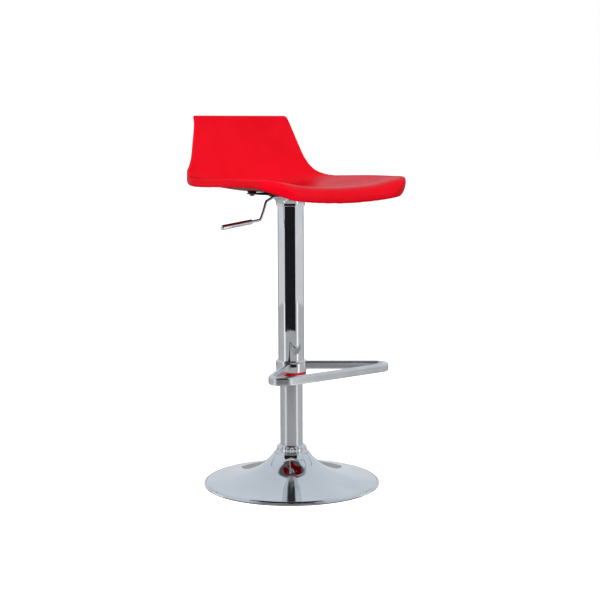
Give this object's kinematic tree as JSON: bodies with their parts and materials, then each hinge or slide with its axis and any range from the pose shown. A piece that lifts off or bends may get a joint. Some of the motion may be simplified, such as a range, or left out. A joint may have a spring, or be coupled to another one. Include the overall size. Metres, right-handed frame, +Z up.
{
  "type": "adjustable swivel stool",
  "caption": "Gas-lift swivel bar stool with a moulded low-back plastic seat, triangular tube footrest, side height lever and weighted trumpet base.",
  "frame": {"origin": "on the floor, on the axis of the lift column", "axes": "+Z up the column, -Y towards the front of the seat and the footrest bar, -X towards the height lever"},
  "size_m": [0.39, 0.395, 0.814],
  "materials": {
    "base_chrome": "polished chrome plate, slightly blue",
    "rubber": "matt black",
    "black_plastic": "matt black",
    "cast_iron": "rough sand cast",
    "steel": "ground",
    "satin_chrome": "soft polished chrome plate",
    "mirror_chrome": "mirror polished chrome plate",
    "black_steel": "black powder coat",
    "red_bush": "moulded, gloss",
    "red_seat": "moulded, fine grain, satin gloss",
    "brass": "turned"
  },
  "bodies": {
    "base": {"base_trumpet": "base_chrome", "floor_ring": "rubber", "bottom_cover": "black_plastic", "ballast_ring": "cast_iron", "column_foot": "steel", "base_bolts": "steel", "ring_nut": "mirror_chrome", "lift_column": "satin_chrome", "column_guide_bush": "black_plastic", "bearing_lower_race": "steel", "bearing_balls": "steel", "bearing_cage": "black_plastic"},
    "swivel_rod": {"piston_rod": "steel", "piston": "steel", "bearing_upper_race": "steel", "rod_shoulder": "steel", "rod_clip": "steel", "rod_washer": "steel"},
    "seat": {"gas_cylinder": "black_steel", "rod_guide": "steel", "sleeve": "mirror_chrome", "bell_cover": "mirror_chrome", "sleeve_bush": "red_bush", "footrest_collar": "mirror_chrome", "footrest_screws": "steel", "footrest_loop": "satin_chrome", "seat_plate": "black_steel", "taper_hub": "black_steel", "lever_bracket": "black_steel", "lever_pivot_pin": "steel", "seat_shell": "red_seat", "seat_inserts": "brass", "seat_bolts": "steel"},
    "lever": {"lever_rod": "mirror_chrome", "lever_grip": "mirror_chrome"},
    "release": {"release_pin": "steel"}
  },
  "joints": [
    {"name": "swivel", "type": "hinge", "parent": "base", "child": "swivel_rod", "pos_m": [0, 0, 0.0284], "axis": [0, 0, 1], "continuous": true},
    {"name": "height", "type": "slide", "parent": "swivel_rod", "child": "seat", "axis": [0, 0, 1], "range_m": [-0.12, 0.09]},
    {"name": "lever_lift", "type": "hinge", "parent": "seat", "child": "lever", "pos_m": [-0.026, 0, 0.6386], "axis": [0, 1, 0], "range_deg": [0, 8], "stiffness_Nm_per_rad": 1.5, "springref_deg": -5.73},
    {"name": "release_press", "type": "slide", "parent": "seat", "child": "release", "axis": [0, 0, 1], "range_m": [-0.004, 0]}
  ],
  "couplings": [
    {"joint": "release_press", "follows": "lever_lift", "m_per_rad": -0.028}
  ]
}
